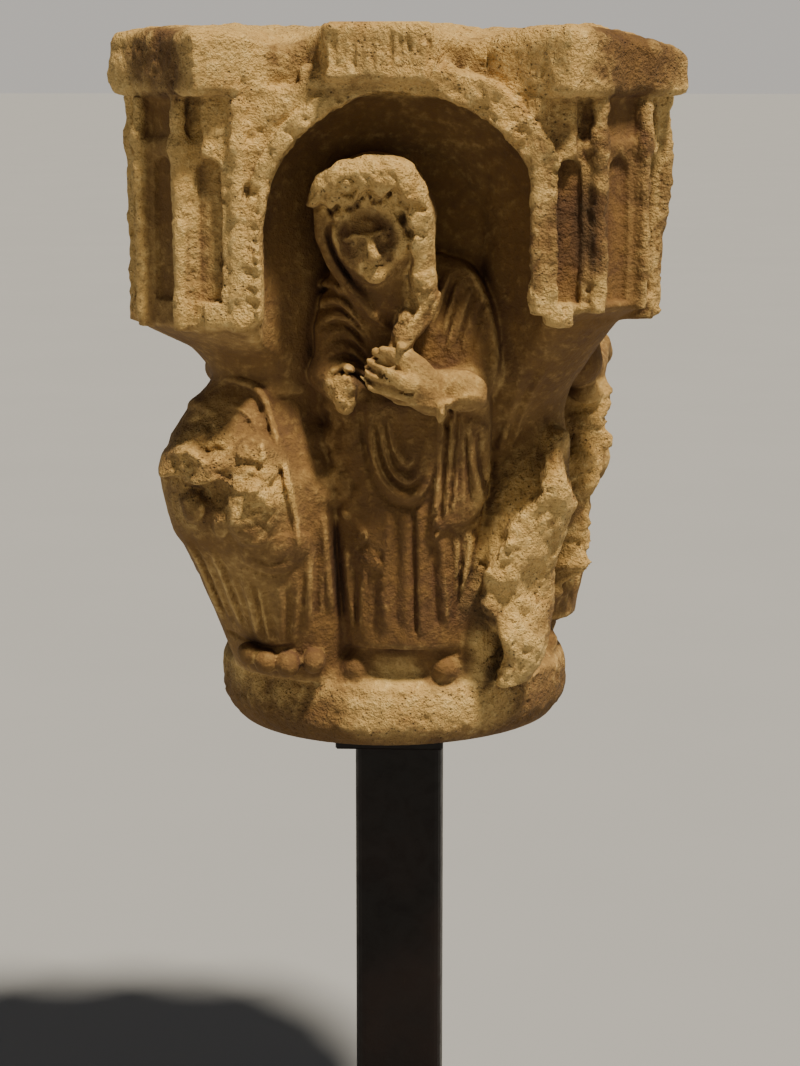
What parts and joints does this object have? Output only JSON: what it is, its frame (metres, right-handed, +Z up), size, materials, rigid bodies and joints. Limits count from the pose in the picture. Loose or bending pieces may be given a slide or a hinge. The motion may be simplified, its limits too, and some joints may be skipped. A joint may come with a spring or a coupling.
{
  "type": "figured stone capital on a steel post",
  "caption": "Carved stone capital: veiled figures stand under round arches between faceted corner turrets, crouching figures below, raised on a square steel post with a foot plate.",
  "frame": {"origin": "middle of the foot plate's underside, on the capital's upright axis", "axes": "+Z up; the side with the main veiled figure faces -Y; the broken corner is at +X, -Y"},
  "size_m": [0.31, 0.31, 0.7229],
  "materials": {
    "stone": "weathered warm limestone, worn, pitted and broken, with brown dirt in the recesses",
    "black_steel": "near-black satin paint"
  },
  "bodies": {
    "root": {"capital": "stone", "support_plate": "black_steel", "post": "black_steel", "foot_plate": "black_steel"}
  },
  "joints": []
}
